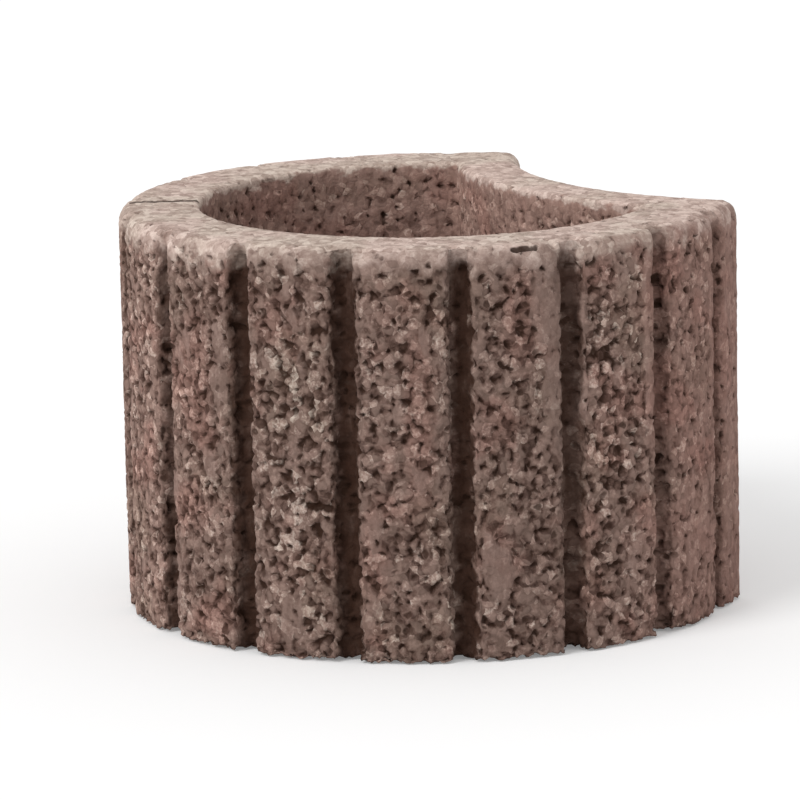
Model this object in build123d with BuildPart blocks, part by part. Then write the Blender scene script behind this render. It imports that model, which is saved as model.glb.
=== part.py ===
# A planting ring of cast concrete.
#
# It is a round wall that is open below and above. Rows of such rings are set side by side and
# filled with earth, so one side is hollow: the next ring nests there, between two horns. Upright
# ribs with grooves between them run round the outside, and the bore follows the outline, so that
# the wall stays even all the way round.
#
# Lengths are in millimetres and angles in degrees. The ring stands on the XY plane. X runs from
# its back to the hollow side, and the origin is under the middle of its box.

from build123d import *
import os
from math import cos, sin, radians

# Wall
HEIGHT = 200.0             # bottom face to top face
OUTER_RADIUS = 152.0       # to the crown of a rib
BORE_RADIUS = 111.0        # the round part of the bore

# Hollow side
NEST_PITCH = 240.0         # centre to centre of two nested rings
NEST_CLEARANCE = 2.0       # air between the next ring and the hollow
NEST_WALL = 34.0           # wall between the hollow and the bore
BORE_CORNER = 5.0          # rounding where the bore's round and hollow walls meet
HORN_ROUNDING = 9.5        # upright edges of the two horns

# Ribs
GROOVE_COUNT = 13          # the middle one is at the back
RIB_ANGLE = 21.2           # from one groove to the next
GROOVE_DEPTH = 8.0
GROOVE_FLOOR = 6.0         # width at the bottom of a groove
GROOVE_SLOPE = 2.0         # how far each side of a groove leans out
SHOULDER = 5.0             # rounding where a groove opens onto its ribs

# Edges of the top face
RIM_ROUNDING = 8.5         # outer edge, where the grooves run out
RIM_MARGIN = 0.5           # the rim is rounded at least this much less than the horns it runs over
BORE_CHAMFER = 2.0         # edge of the bore

CUTTER_MARGIN = 12.0       # how far a groove's cutter stands out of the wall


def next_ring(radius, mode):
    """A disc about the centre of the ring that nests in the hollow side."""
    with Locations((NEST_PITCH, 0)):
        Circle(radius, mode=mode)


groove_span = RIB_ANGLE * (GROOVE_COUNT - 1)
last_groove = 180 - groove_span / 2

# Outline without its grooves: a disc, two straight cheeks that leave it at the last grooves and
# run on to the horns, and the hollow for the next ring.
with BuildSketch() as outline:
    Circle(OUTER_RADIUS)
    with BuildLine():
        tangent_x = OUTER_RADIUS * cos(radians(last_groove))
        tangent_y = OUTER_RADIUS * sin(radians(last_groove))
        apex = (OUTER_RADIUS / cos(radians(last_groove)), 0)
        Polyline((0, 0), (tangent_x, -tangent_y), apex, (tangent_x, tangent_y), close=True)
    make_face()
    next_ring(OUTER_RADIUS + NEST_CLEARANCE, Mode.SUBTRACT)
    horn_tips = outline.vertices().group_by(Axis.X)[-1]
    fillet(horn_tips, HORN_ROUNDING)

# Bore: round, with a curved bite out of it that keeps the wall even behind the hollow side.
with BuildSketch() as bore:
    Circle(BORE_RADIUS)
    next_ring(OUTER_RADIUS + NEST_CLEARANCE + NEST_WALL, Mode.SUBTRACT)
    fillet(bore.vertices(), BORE_CORNER)

# Section of one groove, from its floor out to its rounded shoulders and on past the crown.
with BuildSketch() as groove:
    half_floor = GROOVE_FLOOR / 2
    half_mouth = half_floor + GROOVE_SLOPE
    with BuildLine():
        Polyline(
            (-GROOVE_DEPTH, -half_floor),
            (0, -half_mouth),
            (0, -half_mouth - SHOULDER - CUTTER_MARGIN),
            (CUTTER_MARGIN, -half_mouth - SHOULDER - CUTTER_MARGIN),
            (CUTTER_MARGIN, half_mouth + SHOULDER + CUTTER_MARGIN),
            (0, half_mouth + SHOULDER + CUTTER_MARGIN),
            (0, half_mouth),
            (-GROOVE_DEPTH, half_floor),
            close=True,
        )
    make_face()
    # Four corners lie at the crown: the outer two are the cutter's own, the inner two the shoulders.
    crown_corners = groove.vertices().group_by(Axis.X)[1].sort_by(Axis.Y)
    fillet(crown_corners[1:3], SHOULDER)

with BuildSketch() as grooves:
    with PolarLocations(OUTER_RADIUS, GROOVE_COUNT, last_groove, groove_span, endpoint=True):
        add(groove.sketch)

# The ring itself, with its box centred over the origin.
footprint = (outline.sketch - grooves.sketch).bounding_box()
centre_plane = Plane((-(footprint.min.X + footprint.max.X) / 2, 0, 0))

with BuildPart() as planting_ring:
    with BuildSketch(centre_plane):
        add(outline.sketch)
    extrude(amount=HEIGHT)

    rim = planting_ring.faces().sort_by(Axis.Z)[-1].outer_wire().edges()
    fillet(rim, min(RIM_ROUNDING, HORN_ROUNDING - RIM_MARGIN))

    with BuildSketch(centre_plane):
        add(bore.sketch)
    extrude(amount=HEIGHT, mode=Mode.SUBTRACT)
    bore_edge = planting_ring.faces().sort_by(Axis.Z)[-1].inner_wires()[0].edges()
    chamfer(bore_edge, BORE_CHAMFER)

    with BuildSketch(centre_plane):
        add(grooves.sketch)
    extrude(amount=HEIGHT, mode=Mode.SUBTRACT)

planting_ring.part.label = "planting_ring"

os.makedirs("parts", exist_ok=True)
export_step(planting_ring.part, "parts/planting_ring.step")
print("volume", round(planting_ring.part.volume / 1e6, 3), "litres")
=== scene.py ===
# %% [markdown]
# A planting ring of open-pored concrete.
#
# The ring is one cast block. Its size and form are settled in the imported model, so this lesson is
# about its skin: grains with pits between them on the ribs, smoother strips that the mould dragged
# beside the grooves, a paler, finer top and a raw foot. First the imported model is loaded, and its
# box is kept.

# %% Load the imported model
from math import cos, radians, sin

import bpy
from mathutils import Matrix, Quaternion, Vector


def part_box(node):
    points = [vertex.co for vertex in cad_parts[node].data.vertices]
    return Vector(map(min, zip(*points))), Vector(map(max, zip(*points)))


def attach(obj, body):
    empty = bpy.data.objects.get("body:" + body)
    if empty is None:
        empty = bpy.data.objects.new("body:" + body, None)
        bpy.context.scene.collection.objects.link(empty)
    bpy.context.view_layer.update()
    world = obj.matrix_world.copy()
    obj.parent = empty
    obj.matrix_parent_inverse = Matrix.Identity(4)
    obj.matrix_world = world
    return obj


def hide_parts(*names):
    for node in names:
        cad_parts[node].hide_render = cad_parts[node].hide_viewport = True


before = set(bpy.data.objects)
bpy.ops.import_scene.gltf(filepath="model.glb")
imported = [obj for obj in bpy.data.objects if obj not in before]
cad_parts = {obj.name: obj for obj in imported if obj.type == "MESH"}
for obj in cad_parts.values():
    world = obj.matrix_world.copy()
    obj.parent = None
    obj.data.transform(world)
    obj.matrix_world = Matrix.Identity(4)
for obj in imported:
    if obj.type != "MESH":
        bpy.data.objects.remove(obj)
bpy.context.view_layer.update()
scene = bpy.context.scene
low, high = (Vector(corner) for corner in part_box("planting_ring"))
print("ring box in mm:", [round(side * 1000, 1) for side in high - low])

# %% [markdown]
# The camera comes first, because every other choice is judged through it. It stands where a person
# would stand a few metres off, a little above the ring, with the hollow side turned away to the
# right. A long lens keeps that distance and still fills the frame. The camera is held a little
# askew, so the ring's uprights lean to the left at the top.

# %% Camera
VIEW_AZIMUTH = radians(-31.8)
VIEW_ELEVATION = radians(11.3)
VIEW_DISTANCE = 2.95
VIEW_ROLL = radians(1.2)
LENS = 268.0                  # mm, on a sensor 36 mm wide
FAR_CLIP = 100.0

sight = Vector((
    -sin(VIEW_AZIMUTH) * cos(VIEW_ELEVATION),
    cos(VIEW_AZIMUTH) * cos(VIEW_ELEVATION),
    -sin(VIEW_ELEVATION),
))
ring_middle = (low + high) / 2
camera = bpy.data.objects.new("camera", bpy.data.cameras.new("camera"))
camera.location = ring_middle - sight * VIEW_DISTANCE
upright = sight.to_track_quat("-Z", "Y")
camera.rotation_euler = (upright @ Quaternion((0, 0, 1), -VIEW_ROLL)).to_euler()
camera.data.lens = LENS
camera.data.clip_end = FAR_CLIP
scene.collection.objects.link(camera)
scene.camera = camera
print("camera stands at", [round(c, 2) for c in camera.location])

# %% [markdown]
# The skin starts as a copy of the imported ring, so that its form is exact. The copy is a shell of
# long thin triangles, which can't carry grains of 4 mm. Merging its loose triangles and remeshing
# it with small voxels gives an even net all over. Subdividing would keep the thin triangles and
# leave the top face nearly bare.

# %% An even skin over the ring
MERGE_GAP = 1e-6
SKIN_VOXEL = 0.0011


def select_only(piece):
    """Operators act on all that is selected, so everything else is let go first."""
    bpy.ops.object.select_all(action="DESELECT")
    piece.select_set(True)
    bpy.context.view_layer.objects.active = piece


def apply_modifier(piece, name, kind, **settings):
    """Adds one modifier, sets it up and applies it."""
    select_only(piece)
    modifier = piece.modifiers.new(name, kind)
    for setting, value in settings.items():
        setattr(modifier, setting, value)
    bpy.ops.object.modifier_apply(modifier=name)


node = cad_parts["planting_ring"]
ring = bpy.data.objects.new("cast_ring", node.data.copy())
ring.data.name = "cast_ring"
ring.data.materials.clear()
scene.collection.objects.link(ring)

select_only(ring)
bpy.ops.object.mode_set(mode="EDIT")
bpy.ops.mesh.select_all(action="SELECT")
bpy.ops.mesh.remove_doubles(threshold=MERGE_GAP)
bpy.ops.object.mode_set(mode="OBJECT")
apply_modifier(ring, "even net", "REMESH", mode="VOXEL", voxel_size=SKIN_VOXEL)
print("skin:", len(ring.data.vertices), "points")

# %% [markdown]
# The relief is made with geometry nodes and the colours with shader nodes. Both kinds of tree take
# the same texture and maths nodes, so the helpers below work in either: they add a node, feed it
# numbers or other nodes' outputs, and give back its output. The relief and the colours can then be
# built by the same functions, and a dark spot always lies in a real pit.

# %% Helpers for nodes and numbers


def feed(tree, socket, value):
    """Sets a socket to a number, or links it to another node's output."""
    if isinstance(value, bpy.types.NodeSocket):
        tree.links.new(value, socket)
    else:
        socket.default_value = value


def add_node(tree, kind, inputs=None, **settings):
    """Adds a node with its settings and feeds the named inputs."""
    new = tree.nodes.new(kind)
    for setting, value in settings.items():
        setattr(new, setting, value)
    for socket, value in (inputs or {}).items():
        feed(tree, new.inputs[socket], value)
    return new


def calc(tree, operation, *values):
    """One sum on numbers, such as ADD or MULTIPLY."""
    new = add_node(tree, "ShaderNodeMath", operation=operation)
    for socket, value in zip(new.inputs, values):
        feed(tree, socket, value)
    return new.outputs[0]


def chain(tree, operation, values):
    """The same sum over any number of values, one after another."""
    result = values[0]
    for value in values[1:]:
        result = calc(tree, operation, result, value)
    return result


def total(tree, *values):
    """Adds up any number of values."""
    return chain(tree, "ADD", values)


def product(tree, *values):
    """Multiplies any number of values."""
    return chain(tree, "MULTIPLY", values)


def largest(tree, *values):
    """The largest of any number of values."""
    return chain(tree, "MAXIMUM", values)


def blend(tree, mask, off, on):
    """One value where the mask is 0, and another where it is 1."""
    if isinstance(on, bpy.types.NodeSocket):
        step = calc(tree, "SUBTRACT", on, off)
    else:
        step = on - off
    return calc(tree, "MULTIPLY_ADD", mask, step, off)


# %% Helpers for vectors, borders and noise


def arrow(tree, operation, first, second):
    """One sum on vectors."""
    new = add_node(tree, "ShaderNodeVectorMath", {0: first}, operation=operation)
    feed(tree, new.inputs["Scale" if operation == "SCALE" else 1], second)
    gives_number = operation in ("LENGTH", "DISTANCE", "DOT_PRODUCT")
    return new.outputs["Value" if gives_number else "Vector"]


def split(tree, vector):
    """The three numbers of a vector or a colour."""
    return add_node(tree, "ShaderNodeSeparateXYZ", {0: vector}).outputs


def ramp_between(tree, value, start, end, low_value=0.0, high_value=1.0):
    """Goes softly from one value to another while its input goes from start to end."""
    inputs = {"Value": value, "From Min": start, "From Max": end,
              "To Min": low_value, "To Max": high_value}
    new = add_node(tree, "ShaderNodeMapRange", inputs, interpolation_type="SMOOTHSTEP")
    return new.outputs["Result"]


def fall_between(tree, value, start, end):
    """Goes softly from 1 to 0 while its input goes from start to end."""
    return ramp_between(tree, value, start, end, 1.0, 0.0)


def noise(tree, place, size, detail=2.0, roughness=0.5):
    """Cloudy noise with lumps of about the given size, in metres, from 0 to 1."""
    inputs = {"Vector": place, "Scale": 1 / size, "Detail": detail, "Roughness": roughness}
    return add_node(tree, "ShaderNodeTexNoise", inputs).outputs[0]


def swing(tree, place, size, detail=2.0):
    """The same noise about 0, for borders that stray to both sides."""
    return calc(tree, "SUBTRACT", noise(tree, place, size, detail), 0.5)


# %% [markdown]
# The skin differs from place to place, so both trees need to know where on the ring a point lies.
# The measures below are the ring's own, in metres. The middle of its round lies a little off the
# middle of its box, because one side is hollow. No border on cast concrete is a clean line, so two
# clouds of noise come along: a fine one that makes borders stray, and a coarse one for the borders
# of large areas.

# %% Places on the ring
OUTER_RADIUS = 0.152
BORE_RADIUS = 0.111
GROOVE_STEP = radians(21.2)
HOLLOW_MIDDLE = 0.240         # from the middle of the round to the centre of the hollow's curve
WALL_SKIN = (OUTER_RADIUS - 0.016, OUTER_RADIUS - 0.012)
STRAY_SIZE, STRAY = 0.009, 0.012          # lumps, and how far they push, from side to side
PATCH_SIZE, PATCH_STRAY = 0.030, 0.10

round_middle = Vector((0.01705, 0, 0))
ring_height = high.z - low.z


def long_side(tree, first, second):
    """The long side of a right-angled triangle."""
    squares = total(tree, product(tree, first, first), product(tree, second, second))
    return calc(tree, "SQRT", squares)


def spot_on_ring(tree, place):
    """The measures of a point that its masks are made from."""
    parts = split(tree, arrow(tree, "SUBTRACT", place, round_middle))
    x, y, z = parts["X"], parts["Y"], parts["Z"]
    radius = long_side(tree, x, y)
    stray = product(tree, swing(tree, place, STRAY_SIZE, detail=3.0), STRAY)
    patchy = product(tree, swing(tree, place, PATCH_SIZE), PATCH_STRAY)

    # Across the ribs: 0 in the middle of a groove, less on its left and more on its right.
    turned = calc(tree, "ADD", calc(tree, "ARCTAN2", y, x), radians(180))
    from_groove = calc(tree, "WRAP", turned, GROOVE_STEP / 2, -GROOVE_STEP / 2)
    return {
        "x": x, "y": y, "z": z, "radius": radius, "stray": stray, "patchy": patchy,
        "outside": ramp_between(tree, radius, *WALL_SKIN),
        "across": product(tree, from_groove, OUTER_RADIUS),
        "lengthwise": total(tree, x, patchy),
        "from_hollow": long_side(tree, calc(tree, "SUBTRACT", x, HOLLOW_MIDDLE), y),
    }


print("round:", round(OUTER_RADIUS * 2000), "mm wide, bore:", round(BORE_RADIUS * 2000), "mm")

# %% [markdown]
# Three masks repeat with the ribs: the grooves' painted shade, the chipped shoulders beside the
# grooves, and the strips that the mould dragged smooth. An angle that is wrapped to one rib's step
# makes each of them for all ribs at once. The painted shade fades more softly on a groove's left
# than on its right. The strips lie on the left of the grooves, and fade out at the back and towards
# the foot.

# %% Masks across the ribs
RIB_STRAY, STRIP_STRAY = 0.7, 3.0         # shares of the fine cloud's and the coarse cloud's push
# The groove mask is painted shade. Its left border is softer than its right, and away from the
# ring's -x end it moves in towards the groove's middle, to follow how light falls into the grooves.
GROOVE_LEFT, GROOVE_RIGHT = (-0.0085, -0.0028), (0.0042, 0.0062)
MOVED_IN, MOVED_FROM = 0.0022, (-0.125, -0.080)     # of the left border, away from the back
SHOULDER_END = (0.0085, 0.0110)
STRIP_LEFT, STRIP_RIGHT = (-0.0150, -0.0120), (-0.0045, -0.0025)
STRIP_BACK, STRIP_FOOT = (-0.070, -0.020), (0.050, 0.120)


def rib_masks(tree, spot):
    """The grooves' painted shade, the shoulders of the ribs and the dragged strips."""
    across, outside = spot["across"], spot["outside"]
    wavy = total(tree, across, product(tree, spot["stray"], RIB_STRAY))
    moved_in = ramp_between(tree, spot["x"], *MOVED_FROM, 0.0, MOVED_IN)
    left = ramp_between(tree, calc(tree, "SUBTRACT", wavy, moved_in), *GROOVE_LEFT)
    groove = product(tree, left, fall_between(tree, wavy, *GROOVE_RIGHT))
    shoulder = fall_between(tree, calc(tree, "ABSOLUTE", across), *SHOULDER_END)
    upwards = total(tree, spot["z"], product(tree, spot["patchy"], STRIP_STRAY))
    dragged = product(
        tree, ramp_between(tree, wavy, *STRIP_LEFT), fall_between(tree, wavy, *STRIP_RIGHT),
        ramp_between(tree, spot["lengthwise"], *STRIP_BACK),
        ramp_between(tree, upwards, *STRIP_FOOT),
    )
    return {
        "groove": product(tree, outside, groove),
        "shoulder": product(tree, outside, shoulder),
        "dragged": product(tree, outside, dragged),
    }


# %% [markdown]
# Other masks tell the sides apart. The mould rubbed the hollow and the cheeks beside it smooth. The
# bore has a wall of its own, which bulges inwards at the hollow. Towards the hollow the pits get
# fewer, and the grooves get less painted shade, because light falls into them there. Dust lies
# thickest on the far side, and thinner at the hollow.

# %% Masks for the sides
CHEEK_START = (0.090, 0.096)              # from the middle of the round, as the next borders are
# The second pair is where the grooves' painted shade thins towards the hollow, as light falls into
# the grooves there.
CALM, LIT_GROOVE_SPAN = (0.010, 0.060), (-0.040, 0.040)
DUSTY_SIDE = (-0.045, 0.010)
DUSTY_END, DUSTY_SHARE = (-0.025, 0.020), 0.62
BORE_SKIN = (BORE_RADIUS + 0.003, BORE_RADIUS + 0.006)
HOLLOW_SKIN = (0.160, 0.170)              # from the centre of the hollow's curve, as the last two
BORE_START, BULGE_SKIN = (0.165, 0.175), (0.190, 0.194)


def side_masks(tree, spot):
    """The smooth cheeks and hollow, the calm and dusty parts, the span where the grooves' painted
    shade thins, the bore and its bulge.
    """
    lengthwise, from_hollow = spot["lengthwise"], spot["from_hollow"]
    cheek = ramp_between(tree, total(tree, spot["x"], spot["stray"]), *CHEEK_START)
    dusty_side = ramp_between(tree, total(tree, spot["y"], spot["patchy"]), *DUSTY_SIDE)
    dusty_end = product(tree, ramp_between(tree, lengthwise, *DUSTY_END), DUSTY_SHARE)
    bore = product(tree, fall_between(tree, spot["radius"], *BORE_SKIN),
                   ramp_between(tree, from_hollow, *BORE_START))
    return {
        "outside": spot["outside"],
        "cheek": largest(tree, fall_between(tree, from_hollow, *HOLLOW_SKIN), cheek),
        "calm": product(tree, spot["outside"], ramp_between(tree, lengthwise, *CALM)),
        "lit_grooves": ramp_between(tree, lengthwise, *LIT_GROOVE_SPAN),
        "dusty": largest(tree, dusty_side, dusty_end),
        "bore": bore,
        "bulge": product(tree, bore, fall_between(tree, from_hollow, *BULGE_SKIN)),
    }


# %% [markdown]
# The last masks depend on the height. Dry cement makes the top pale. The pale band reaches well
# down the rounded edge, but at the front most of that edge is brown. In the bore the band ends
# right below the edge. The foot is raw.

# %% Masks up the wall
FOOT_TOP = 0.006
HEIGHT_STRAY, TOP_STRAY = 1.3, 0.25       # shares of the fine cloud's push
FRONT_END, FRONT_STRAY = (-0.075, -0.035), 0.5
LEVEL = (-0.0015, -0.0008)                # these heights are from the top of the ring
RIM = (-0.0170, -0.0040)                  # where pits get fewer
PALE_OUTSIDE, PALE_INSIDE = (-0.0160, -0.0030), (-0.0050, -0.0020)
PALE_FRONT, PALE_FRONT_SHARE = (-0.0140, 0.0030), 0.75
PALE_TOP = (-0.0022, -0.0006)


def near_top(tree, height, borders, high_value=1.0):
    """Rises between two heights that are given from the top of the ring."""
    start, end = (ring_height + border for border in borders)
    return ramp_between(tree, height, start, end, 0.0, high_value)


def height_masks(tree, spot, bore):
    """The level top, the rim, the pale band and the foot."""
    stray = spot["stray"]
    height = total(tree, spot["z"], product(tree, stray, HEIGHT_STRAY))
    wandering = total(tree, height, stray)
    forward = total(tree, spot["y"], product(tree, spot["patchy"], FRONT_STRAY))
    top = near_top(tree, total(tree, spot["z"], product(tree, stray, TOP_STRAY)), PALE_TOP)
    pale_front = largest(tree, top, near_top(tree, wandering, PALE_FRONT, PALE_FRONT_SHARE))
    pale_outside = blend(tree, fall_between(tree, forward, *FRONT_END),
                         near_top(tree, wandering, PALE_OUTSIDE), pale_front)
    return {
        "level": near_top(tree, spot["z"], LEVEL),
        "rim": near_top(tree, height, RIM),
        "pale": blend(tree, bore, pale_outside, near_top(tree, height, PALE_INSIDE)),
        "foot": fall_between(tree, height, 0.0, FOOT_TOP),
    }


def ring_masks(tree, place):
    """All masks of a point: each is 1 inside its area and 0 away from it."""
    spot = spot_on_ring(tree, place)
    masks = {**rib_masks(tree, spot), **side_masks(tree, spot)}
    masks.update(height_masks(tree, spot, masks["bore"]))
    return masks


# %% [markdown]
# A cast ring isn't flawless. This one has a dark seam across its top face, a short level crack on
# one rib and a slit in the rim above another. Each is a straight line with an uneven edge, so one
# helper makes all three from a list of ends and half widths. Their dark colour is painted shade.

# %% Scores
SCORES = (                    # ends, from the middle of the round, and the half width
    ((-0.1212, 0.0847, 0.200), (-0.0919, 0.0669, 0.200), 0.0036),
    ((-0.1242, -0.0877, 0.0752), (-0.1130, -0.1015, 0.0745), 0.0026),
    ((-0.0408, -0.1425, 0.1980), (-0.0306, -0.1450, 0.1980), 0.0024),
)
SCORE_ROUGHNESS, SCORE_LUMP = 1.5, 0.004  # of the edge: how uneven, and in what size


def near_line(tree, place, start, end, half_width):
    """1 on a straight line between two points, 0 away from it, with an uneven edge."""
    start, end = round_middle + Vector(start), round_middle + Vector(end)
    along = (end - start).normalized()
    offset = arrow(tree, "SUBTRACT", place, start)
    reach = calc(tree, "MAXIMUM", arrow(tree, "DOT_PRODUCT", offset, along), 0.0)
    reach = calc(tree, "MINIMUM", reach, (end - start).length)
    gap = arrow(tree, "DISTANCE", offset, arrow(tree, "SCALE", along, reach))
    rough = swing(tree, place, SCORE_LUMP)
    gap = calc(tree, "MULTIPLY_ADD", rough, half_width * SCORE_ROUGHNESS, gap)
    return fall_between(tree, gap, half_width * 0.5, half_width)


def score_mask(tree, place):
    """1 in the seam, the crack and the slit."""
    return largest(tree, *(near_line(tree, place, *score) for score in SCORES))


print("scores:", len(SCORES))

# %% [markdown]
# Other marks have a place of their own too: cement smears, parts where the skin is torn open and
# pale grains show, quieter parts, and parts where the mix is redder. Clouds of noise would put them
# anywhere. Soft upright ovals, listed by their angle and height on the wall, put them where they
# belong.

# %% Patches
SMEARS = (                    # degrees about the bore's axis, height, half width, half height
    (238.8, 0.181, 0.009, 0.014),
    (250.0, 0.045, 0.008, 0.014),
    (258.1, 0.170, 0.006, 0.024),
    (277.5, 0.180, 0.008, 0.018),
    (278.5, 0.125, 0.006, 0.020),
    (297.0, 0.070, 0.013, 0.065),
    (196.0, 0.140, 0.008, 0.020),
)
OPEN_PARTS = (                # the same, where pits and pale grains are thickest
    (212.0, 0.110, 0.018, 0.100),
    (271.5, 0.148, 0.011, 0.060),
)
QUIET_PARTS = (               # the same, where there are fewer pits and pale grains
    (233.0, 0.100, 0.018, 0.110),
    (253.0, 0.100, 0.018, 0.110),
)
RED_PARTS = (                 # the same, where the mix leans to red
    (190.0, 0.135, 0.013, 0.034),
    (236.0, 0.120, 0.008, 0.050),
    (255.0, 0.165, 0.011, 0.026),
)
OVAL_EDGE = (0.5, 1.3)        # where an oval fades out, as a share of its half sizes


def patches(tree, place, spots):
    """1 inside soft upright ovals on the outer wall, 0 outside them."""
    ovals = []
    for angle, height, half_width, half_height in spots:
        around = Vector((cos(radians(angle)), sin(radians(angle)), 0)) * OUTER_RADIUS
        centre = round_middle + around + Vector((0, 0, height))
        squeeze = Vector((1 / half_width, 1 / half_width, 1 / half_height))
        offset = arrow(tree, "MULTIPLY", arrow(tree, "SUBTRACT", place, centre), squeeze)
        ovals.append(fall_between(tree, arrow(tree, "LENGTH", offset, (0, 0, 0)), *OVAL_EDGE))
    return largest(tree, *ovals)


print("patches:", len(SMEARS + OPEN_PARTS + QUIET_PARTS + RED_PARTS))

# %% [markdown]
# Some skin is closed: there the mould rubbed cement over the grains. It closed the cheeks, the rim
# and the dragged strips most. Smears are upright, because the mould was pulled off upwards, so
# their noise is squeezed in height before it is read, which stretches its lumps.

# %% Closed skin
CLOSED_SHARES = {
    "shoulder": 0.22, "dragged": 0.85, "rim": 0.88, "cheek": 0.80, "calm": 0.42, "bore": 0.42,
}
SMEAR_SQUEEZE = (1.0, 1.0, 0.38)
SMEAR_SIZE = 0.013
SMEAR_EDGE = (0.60, 0.68)
SMEAR_LIFT = 0.17             # how much a listed smear adds to the noise
SMEAR_SHARE = 0.80            # how far a smear closes the skin


def closed_skin(tree, place, masks):
    """How far cement closes the skin, from 0 to 1."""
    cloud = noise(tree, arrow(tree, "MULTIPLY", place, SMEAR_SQUEEZE), SMEAR_SIZE)
    cloud = total(tree, cloud, product(tree, patches(tree, place, SMEARS), SMEAR_LIFT))
    smear = ramp_between(tree, cloud, *SMEAR_EDGE)
    areas = (product(tree, masks[name], share) for name, share in CLOSED_SHARES.items())
    return largest(tree, *areas, product(tree, smear, SMEAR_SHARE))


# %% [markdown]
# Concrete like this is grains of 3 to 5 mm glued with little cement. It has crevices between the
# grains, pits where several crevices run together, and holes where a grain broke away. Cell noise
# is such a packing of grains: near a cell's middle is a grain, and far from any middle a crevice.
# Cloudy noise decides where the pits run. Where the skin is closed, the cloud is lowered before it
# is cut off, so that pits get fewer there and not just shallower.

# %% Grains and pits
GRAIN = 0.0039
GRAIN_WARP, WARP_SIZE = 0.0045, 0.006     # bends the cells, so that grains aren't all alike
CREVICE = (0.34, 0.76)                    # from a grain's middle, as a share of its size
PIT = 0.0044                              # size of the clouds that pits are cut from
PIT_LEVEL = (0.510, 0.600)                # cloud values where a pit begins and is full
PIT_OVER_GRAIN = 0.45                     # a pit's depth over a grain, as a share
RIDGE_LEVEL = (0.40, 0.49)
OPENNESS, OPENNESS_SIZE = 0.09, 0.024     # pits come in looser and denser areas
CLOSED_DROP, OPEN_LIFT, QUIET_DROP, ALL_DROP = -0.125, 0.042, -0.012, -0.030
LOST_CHANCE = (0.88, 0.92)                # grains with a random number above this broke away
LOST_HOLE, LOST_DEPTH = (0.30, 0.60), 0.8
LOST_CLOSED = (0.2, 0.6)                  # how closed the skin is where such holes end
CREVICE_CLOSED = 0.2                      # what closed skin leaves of a crevice


def grain_fields(tree, place, masks):
    """Numbers from 0 to 1 that describe the skin at a point."""
    inputs = {"Vector": place, "Scale": 1 / WARP_SIZE, "Detail": 1.0}
    warp = add_node(tree, "ShaderNodeTexNoise", inputs).outputs["Color"]
    warp = arrow(tree, "SUBTRACT", warp, (0.5, 0.5, 0.5))
    warped = arrow(tree, "ADD", place, arrow(tree, "SCALE", warp, GRAIN_WARP))
    grains = add_node(tree, "ShaderNodeTexVoronoi", {"Vector": warped, "Scale": 1 / GRAIN})
    distance, chance = grains.outputs["Distance"], split(tree, grains.outputs["Color"])
    crevice = ramp_between(tree, distance, *CREVICE)

    closed = closed_skin(tree, place, masks)
    open_part, quiet_part = patches(tree, place, OPEN_PARTS), patches(tree, place, QUIET_PARTS)
    cloud = total(
        tree, noise(tree, warped, PIT, detail=1.5, roughness=0.45),
        product(tree, swing(tree, place, OPENNESS_SIZE), OPENNESS),
        product(tree, closed, CLOSED_DROP), product(tree, open_part, OPEN_LIFT),
        product(tree, quiet_part, QUIET_DROP), ALL_DROP,
    )
    pit = product(tree, ramp_between(tree, cloud, *PIT_LEVEL),
                  blend(tree, crevice, PIT_OVER_GRAIN, 1.0))
    lost = product(tree, ramp_between(tree, chance["X"], *LOST_CHANCE),
                   fall_between(tree, distance, *LOST_HOLE),
                   fall_between(tree, closed, *LOST_CLOSED))
    return {
        "pit": largest(tree, pit, product(tree, lost, LOST_DEPTH)),
        "score": score_mask(tree, place),
        "crevice": product(tree, crevice, blend(tree, closed, 1.0, CREVICE_CLOSED)),
        "ridge": fall_between(tree, cloud, *RIDGE_LEVEL),
        "tone": chance["Y"],
        "closed": closed,
        "open": open_part,
        "quiet": quiet_part,
    }


print("grains of", GRAIN * 1000, "mm")

# %% [markdown]
# The relief only presses into the skin, so the ring never grows out of its box. Pits are about 2 mm
# deep and crevices a third of that, the shoulders of the ribs are chipped, and the foot is crumbled
# where it stood on its pallet. The seam stays nearly flat on the level top: seen from low down, a
# cut there hides its own dark floor, and painted shade shows it better. Each point keeps its first
# place as an attribute before it moves: the colours read that place, and so meet the same grains
# again.

# %% Relief
PIT_DEPTH = 0.0021
CREVICE_DEPTH = 0.0007
CRUMBLE_DEPTH, CRUMBLE_SIZE, CRUMBLE_EDGE = 0.0024, 0.007, (0.42, 0.62)
CHIP_DEPTH, CHIP_SIZE, CHIP_EDGE = 0.0015, 0.0065, (0.46, 0.64)
SWAY, SWAY_SIZE = 0.0008, 0.045           # the face as a whole isn't true either
LEVEL_SCORE = 0.2                         # share of a score's depth on the level top


def relief_depth(tree, place):
    """How deep the skin is pressed in at a point, in metres."""
    masks = ring_masks(tree, place)
    grains = grain_fields(tree, place, masks)
    crumbs = noise(tree, place, CRUMBLE_SIZE, detail=3.0, roughness=0.6)
    crumbled = product(tree, masks["foot"], ramp_between(tree, crumbs, *CRUMBLE_EDGE))
    chips = noise(tree, place, CHIP_SIZE)
    chipped = product(tree, masks["shoulder"], ramp_between(tree, chips, *CHIP_EDGE))
    scored = product(tree, grains["score"], blend(tree, masks["level"], 1.0, LEVEL_SCORE))
    return total(
        tree,
        product(tree, largest(tree, grains["pit"], scored), PIT_DEPTH),
        product(tree, chipped, CHIP_DEPTH),
        product(tree, grains["crevice"], CREVICE_DEPTH),
        product(tree, crumbled, CRUMBLE_DEPTH),
        product(tree, noise(tree, place, SWAY_SIZE), SWAY),
    )


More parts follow.
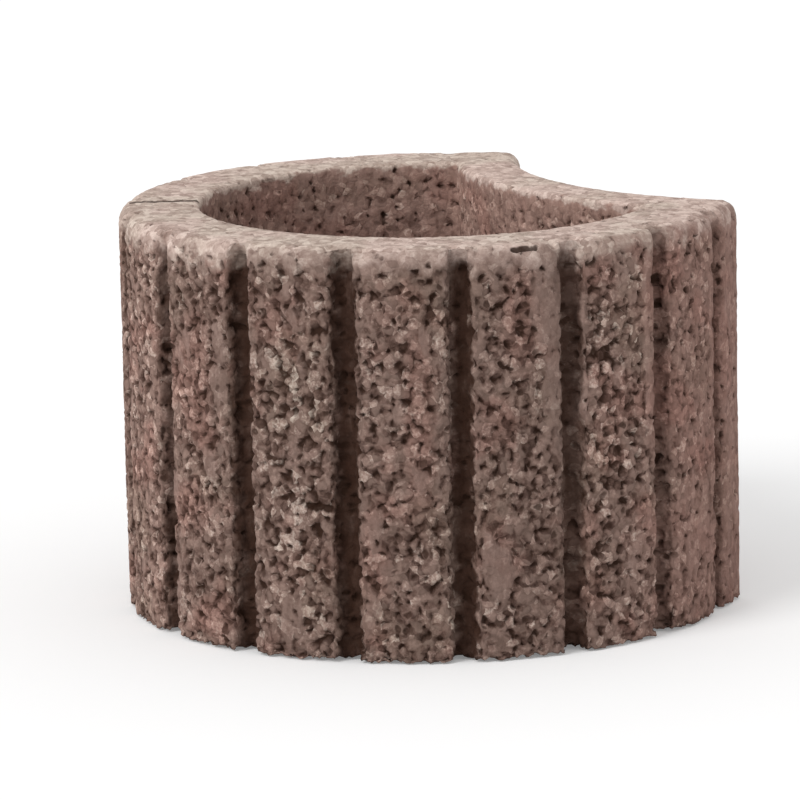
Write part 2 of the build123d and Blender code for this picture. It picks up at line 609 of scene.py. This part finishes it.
def relief_tree():
    """Geometry nodes that press the relief into the skin."""
    tree = bpy.data.node_groups.new("grains and pits", "GeometryNodeTree")
    for direction in ("INPUT", "OUTPUT"):
        tree.interface.new_socket("Geometry", in_out=direction, socket_type="NodeSocketGeometry")
    skin = add_node(tree, "NodeGroupInput").outputs[0]
    place = add_node(tree, "GeometryNodeInputPosition").outputs[0]
    normal = add_node(tree, "GeometryNodeInputNormal").outputs[0]
    move = arrow(tree, "SCALE", normal, product(tree, relief_depth(tree, place), -1.0))
    kept = {"Geometry": skin, "Name": "place", "Value": place}
    store = add_node(tree, "GeometryNodeStoreNamedAttribute", kept, data_type="FLOAT_VECTOR")
    pressed = {"Geometry": store.outputs[0], "Offset": move}
    moved = add_node(tree, "GeometryNodeSetPosition", pressed).outputs[0]
    feed(tree, add_node(tree, "NodeGroupOutput").inputs[0], moved)
    return tree


apply_modifier(ring, "relief", "NODES", node_group=relief_tree())
attribute_names = [layer.name for layer in ring.data.attributes]
print("attributes:", [name for name in attribute_names if not name.startswith(".")])

# %% [markdown]
# The fine net has far more triangles than the relief needs. Collapsing it thins the calm places and
# keeps the pits, down to a set number of triangles. The ring keeps fewer triangles than a stored
# mesh may have.

# %% Thin the net
TRIANGLE_LIMIT = 192_000

apply_modifier(ring, "triangles", "TRIANGULATE")
apply_modifier(ring, "thin out", "DECIMATE", ratio=TRIANGLE_LIMIT / len(ring.data.polygons))
select_only(ring)
bpy.ops.object.shade_smooth()
print("ring:", len(ring.data.polygons), "triangles")

# %% [markdown]
# Colour comes in layers, as it did on the real ring, and each layer gets a small function below.
# They share a few helpers. A tint multiplies a colour, so it keeps the grains that lie under it,
# where a plain mix would paint them over.

# %% Helpers for colours


def colour_ramp(tree, value, stops):
    """A colour ramp from (position, colour) pairs."""
    new = add_node(tree, "ShaderNodeValToRGB", {"Fac": value})
    elements = new.color_ramp.elements
    while len(elements) < len(stops):
        elements.new(0.5)
    for element, (position, colour) in zip(elements, stops):
        element.position = position
        element.color = (*colour, 1)
    return new.outputs["Color"]


def mix(tree, factor, first, second, blend_type="MIX"):
    """Mixes two colours, each an output or three numbers."""
    new = add_node(tree, "ShaderNodeMix", data_type="RGBA", blend_type=blend_type)
    feed(tree, new.inputs["Factor"], factor)
    for socket, colour in ((new.inputs[6], first), (new.inputs[7], second)):
        feed(tree, socket, (*colour, 1) if isinstance(colour, tuple) else colour)
    return new.outputs[2]


def tint(tree, mask, colour, lean):
    """Multiplies a colour by another, where the mask is 1."""
    return mix(tree, mask, colour, mix(tree, 1.0, colour, lean, "MULTIPLY"))


def elsewhere(tree, place, offset):
    """Another part of the same noise, so that two layers don't share their clouds."""
    return arrow(tree, "ADD", place, offset)


# %% [markdown]
# The grains have their own tones, from dark brown to a few nearly white ones, with sand in their
# cement. The ridges between pits get a painted highlight. Whole areas lean to red or to a grey
# beige, as the mixed batches did.

# %% Colours of the grains and the batches
GRAIN_TONES = (
    (0.28, (0.098, 0.059, 0.048)), (0.45, (0.165, 0.103, 0.084)), (0.58, (0.235, 0.152, 0.126)),
    (0.66, (0.370, 0.262, 0.220)), (0.76, (0.620, 0.500, 0.430)),
)
# The pale colour for the ridges between the pits is a painted highlight.
RIDGE_HIGHLIGHT, RIDGE_HIGHLIGHT_SHARE = (0.370, 0.260, 0.216), 0.35
DRIFT, DRIFT_SIZE, DRIFT_AT = 0.12, 0.038, (0.3, 0.9, 0.1)
GRAIN_PART, SAND_PART = 0.42, 0.58
OPEN_PALE, QUIET_DARK, ALL_DARK = 0.052, -0.026, -0.028
RED, RED_SIZE, RED_EDGE, RED_SHARE = (1.03, 0.87, 0.86), 0.032, (0.50, 0.64), 0.65
BEIGE, BEIGE_SIZE, BEIGE_EDGE, BEIGE_SHARE = (0.97, 1.00, 0.975), 0.040, (0.50, 0.66), 0.85
BEIGE_AT = (0.7, 0.2, 0.4)


def grain_colour(tree, place, grains, sand):
    """Grains in their own tones, with a painted highlight on the ridges between the pits."""
    drift = swing(tree, elsewhere(tree, place, DRIFT_AT), DRIFT_SIZE)
    tone = total(
        tree, product(tree, grains["tone"], GRAIN_PART), product(tree, sand, SAND_PART),
        product(tree, drift, DRIFT), product(tree, grains["open"], OPEN_PALE),
        product(tree, grains["quiet"], QUIET_DARK), ALL_DARK,
    )
    ridge = product(tree, grains["ridge"], RIDGE_HIGHLIGHT_SHARE)
    return mix(tree, ridge, colour_ramp(tree, tone, GRAIN_TONES), RIDGE_HIGHLIGHT)


def batch_colour(tree, place, colour):
    """Areas that lean to red, and others that lean to a grey beige."""
    red = ramp_between(tree, noise(tree, place, RED_SIZE, detail=3.0), *RED_EDGE)
    red = largest(tree, red, patches(tree, place, RED_PARTS))
    colour = tint(tree, product(tree, red, RED_SHARE), colour, RED)
    cloud = noise(tree, elsewhere(tree, place, BEIGE_AT), BEIGE_SIZE, detail=3.0)
    beige = ramp_between(tree, cloud, *BEIGE_EDGE)
    return tint(tree, product(tree, beige, BEIGE_SHARE), colour, BEIGE)


# %% [markdown]
# Cement skin lies over the grains where the skin is closed. It has fine upright streaks, made like
# the smears. The sides then get their own tints: the cheeks lean to red and dust makes the far side
# paler. Painted light makes the bore paler, and its bulge paler still.

# %% Colours of the cement skin and the sides
STREAK_SQUEEZE = (1.0, 1.0, 0.35)
SKIN_TONES = (
    (0.30, (0.165, 0.104, 0.085)), (0.52, (0.238, 0.159, 0.133)), (0.72, (0.340, 0.240, 0.206)),
)
SKIN_STREAK, SKIN_SHARE = 0.004, 0.70
CHEEK_TINT = (1.05, 0.96, 0.95)
DUST_TINT = (1.32, 1.30, 1.30)
# The last two tints are painted light, for the bore and for its bulge.
BORE_PAINTED_LIGHT = (1.42, 1.37, 1.37)
BULGE_PAINTED_LIGHT = (1.16, 1.15, 1.14)


def skin_colour(tree, streaks, grains, colour):
    """Cement skin over the grains."""
    tone = noise(tree, streaks, SKIN_STREAK, detail=4.0, roughness=0.68)
    skin = colour_ramp(tree, tone, SKIN_TONES)
    return mix(tree, product(tree, grains["closed"], SKIN_SHARE), colour, skin)


def side_colour(tree, masks, colour):
    """The tints of the cheeks and the dusty parts, and painted light in the bore and on its bulge.
    """
    colour = tint(tree, largest(tree, masks["cheek"], masks["calm"]), colour, CHEEK_TINT)
    colour = tint(tree, product(tree, masks["outside"], masks["dusty"]), colour, DUST_TINT)
    colour = tint(tree, masks["bore"], colour, BORE_PAINTED_LIGHT)
    return tint(tree, masks["bulge"], colour, BULGE_PAINTED_LIGHT)


# %% [markdown]
# Painted shade darkens the crevices and the grooves, less towards the hollow, where light falls
# into the grooves. Dry cement on the top is paler than everything below. Painted shade in the pits
# and scores comes last, because it darkens the dry cement too, only less.

# %% Painted shade in the grooves and pits, and the colours of the top
# Painted shade: the next two dark colours stand in for the shade in the crevices and pits, and in
# the scores.
CAVITY_SHADE, CREVICE_SHARE = (0.040, 0.019, 0.012), 0.30
SCORE_SHADE = (0.028, 0.012, 0.007)
# The tones for the grooves below are painted shade.
GROOVE_SHADE_TONES = (
    (0.35, (0.034, 0.014, 0.008)), (0.58, (0.050, 0.024, 0.016)), (0.74, (0.095, 0.056, 0.043)),
)
GROOVE_STREAK, GROOVE_SHADE_SHARE, LIT_GROOVE_SHARE = 0.005, 0.95, 0.35
TOP_TONES = (
    (0.32, (0.350, 0.257, 0.218)), (0.50, (0.590, 0.463, 0.402)), (0.66, (0.800, 0.670, 0.590)),
)
TOP_LUMP, TOP_SHARE = 0.0045, 0.92
LUMP_PART, TOP_SAND_PART, TOP_GRAIN_PART = 0.35, 0.40, 0.25
BLUSH_SIZE, BLUSH_EDGE, BLUSH_AT = 0.045, (0.42, 0.60), (0.2, 0.5, 0.6)
TOP_BEIGE, TOP_BLUSH = (0.985, 1.00, 0.98), (1.02, 0.985, 0.99)
PIT_SHARE, PALE_PIT_SHARE = 0.90, 0.55
SCORE_SHARE, PALE_SCORE_SHARE = 0.95, 0.85


def groove_shade_colour(tree, streaks, masks, grains, colour):
    """Painted shade in the crevices, and streaky painted shade in the grooves."""
    colour = mix(tree, product(tree, grains["crevice"], CREVICE_SHARE), colour, CAVITY_SHADE)
    tone = noise(tree, streaks, GROOVE_STREAK, detail=3.0, roughness=0.6)
    share = blend(tree, masks["lit_grooves"], GROOVE_SHADE_SHARE, LIT_GROOVE_SHARE)
    shaded = product(tree, masks["groove"], share)
    return mix(tree, shaded, colour, colour_ramp(tree, tone, GROOVE_SHADE_TONES))


def top_colour(tree, place, grains, sand):
    """Dry cement, leaning to beige in some places and to red in others."""
    lumps = noise(tree, place, TOP_LUMP, detail=4.0, roughness=0.65)
    tone = total(tree, product(tree, lumps, LUMP_PART), product(tree, sand, TOP_SAND_PART),
                 product(tree, grains["tone"], TOP_GRAIN_PART))
    cloud = noise(tree, elsewhere(tree, place, BLUSH_AT), BLUSH_SIZE)
    lean = mix(tree, ramp_between(tree, cloud, *BLUSH_EDGE), TOP_BEIGE, TOP_BLUSH)
    return mix(tree, 1.0, colour_ramp(tree, tone, TOP_TONES), lean, "MULTIPLY")


def cavity_and_score_shade(tree, masks, grains, colour):
    """Painted shade in the pits and in the scores, less on the pale top."""
    share = blend(tree, masks["pale"], PIT_SHARE, PALE_PIT_SHARE)
    colour = mix(tree, product(tree, grains["pit"], share), colour, CAVITY_SHADE)
    share = blend(tree, masks["pale"], SCORE_SHARE, PALE_SCORE_SHARE)
    return mix(tree, product(tree, grains["score"], share), colour, SCORE_SHADE)


# %% [markdown]
# The finish puts the layers on each other in that order. It reads the stored place, so its grains
# lie on the grains of the relief. What is finer than the net can carry, the sand and the edges of
# the pits, comes from a bump. Dry concrete hardly shines.

# %% Concrete
SAND = 0.0016
SAND_HEIGHT, CREVICE_HEIGHT, PIT_HEIGHT = 0.9, -0.5, -0.8
BUMP, BUMP_STRENGTH = 0.0009, 0.7
ROUGHNESS, SHINE = 0.92, 0.1


def concrete_material():
    """Brown concrete: grains, batches, cement skin, painted shade in the grooves, pale top, painted
    shade in the pits and scores.
    """
    material = bpy.data.materials.new("brown open-pored concrete")
    material.use_nodes = True
    tree = material.node_tree
    tree.nodes.clear()
    place = add_node(tree, "ShaderNodeAttribute", attribute_name="place").outputs["Vector"]
    masks = ring_masks(tree, place)
    grains = grain_fields(tree, place, masks)
    sand = noise(tree, place, SAND, detail=3.0, roughness=0.65)
    streaks = arrow(tree, "MULTIPLY", place, STREAK_SQUEEZE)

    colour = grain_colour(tree, place, grains, sand)
    colour = batch_colour(tree, place, colour)
    colour = skin_colour(tree, streaks, grains, colour)
    colour = side_colour(tree, masks, colour)
    colour = groove_shade_colour(tree, streaks, masks, grains, colour)
    pale = product(tree, masks["pale"], TOP_SHARE)
    colour = mix(tree, pale, colour, top_colour(tree, place, grains, sand))
    colour = cavity_and_score_shade(tree, masks, grains, colour)

    height = total(tree, product(tree, sand, SAND_HEIGHT),
                   product(tree, grains["crevice"], CREVICE_HEIGHT),
                   product(tree, grains["pit"], PIT_HEIGHT))
    bump = add_node(tree, "ShaderNodeBump",
                    {"Strength": BUMP_STRENGTH, "Distance": BUMP, "Height": height})
    shader = add_node(tree, "ShaderNodeBsdfPrincipled", {
        "Base Color": colour, "Normal": bump.outputs[0],
        "Roughness": ROUGHNESS, "Specular IOR Level": SHINE,
    })
    output = add_node(tree, "ShaderNodeOutputMaterial")
    feed(tree, output.inputs["Surface"], shader.outputs[0])
    return material


ring.data.materials.append(concrete_material())
print("concrete:", len(ring.data.materials[0].node_tree.nodes), "nodes")

# %% [markdown]
# The ring stands on a plain pale floor in soft daylight. A floor of bright paint would clip to
# white by itself and lose the ring's shadow. Instead the floor is a light grey that adds a little
# glow for the camera's rays alone, so it looks white in the open and the shadow stays.

# %% Floor
FLOOR_HALF = 20.0
FLOOR_GAP = 0.0003
FLOOR_GREY, FLOOR_ROUGHNESS = 0.88, 0.9
FLOOR_GLOW = 0.20

bpy.ops.object.select_all(action="DESELECT")
bpy.ops.mesh.primitive_plane_add(size=2 * FLOOR_HALF, location=(0, 0, low.z - FLOOR_GAP))
floor = bpy.context.object
floor.name = "floor"


def floor_material():
    """A pale floor that looks white to the camera, and still takes shadows."""
    material = bpy.data.materials.new("pale floor")
    material.use_nodes = True
    tree = material.node_tree
    shader = tree.nodes["Principled BSDF"]
    shader.inputs["Base Color"].default_value = (FLOOR_GREY, FLOOR_GREY, FLOOR_GREY, 1)
    shader.inputs["Roughness"].default_value = FLOOR_ROUGHNESS
    shader.inputs["Specular IOR Level"].default_value = 0.0
    shader.inputs["Emission Color"].default_value = (1, 1, 1, 1)
    seen = add_node(tree, "ShaderNodeLightPath").outputs["Is Camera Ray"]
    feed(tree, shader.inputs["Emission Strength"], product(tree, seen, FLOOR_GLOW))
    return material


floor.data.materials.append(floor_material())
print("floor lies", FLOOR_GAP * 1000, "mm under the ring")

# %% [markdown]
# Two lights are enough for an object without gloss. The world lights it from all round, like an
# overcast sky, and a wide, weak sun from high on the left gives the ribs their form.

# %% Light
SKY = 0.70
SUN = 1.35
SUN_SPREAD = radians(28)
SUN_FROM = Vector((-1.58, -0.28, 1.25))      # the side that the sun comes from

world = bpy.data.worlds.new("studio")
scene.world = world
world.use_nodes = True
sky_tree = world.node_tree
sky = sky_tree.nodes["Background"]
sky.inputs["Color"].default_value = (1, 1, 1, 1)
path = add_node(sky_tree, "ShaderNodeLightPath").outputs
direct = largest(sky_tree, path["Is Camera Ray"], path["Is Glossy Ray"])
feed(sky_tree, sky.inputs["Strength"], ramp_between(sky_tree, direct, 0.0, 1.0, SKY, 1.0))

sun = bpy.data.objects.new("sun", bpy.data.lights.new("sun", "SUN"))
sun.data.energy = SUN
sun.data.angle = SUN_SPREAD
sun.rotation_euler = SUN_FROM.to_track_quat("Z", "Y").to_euler()
scene.collection.objects.link(sun)
scene.view_settings.view_transform = "Standard"
print("sky", SKY, "sun", SUN)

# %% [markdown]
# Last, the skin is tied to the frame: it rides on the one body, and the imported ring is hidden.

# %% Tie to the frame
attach(ring, "root")
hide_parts("planting_ring")
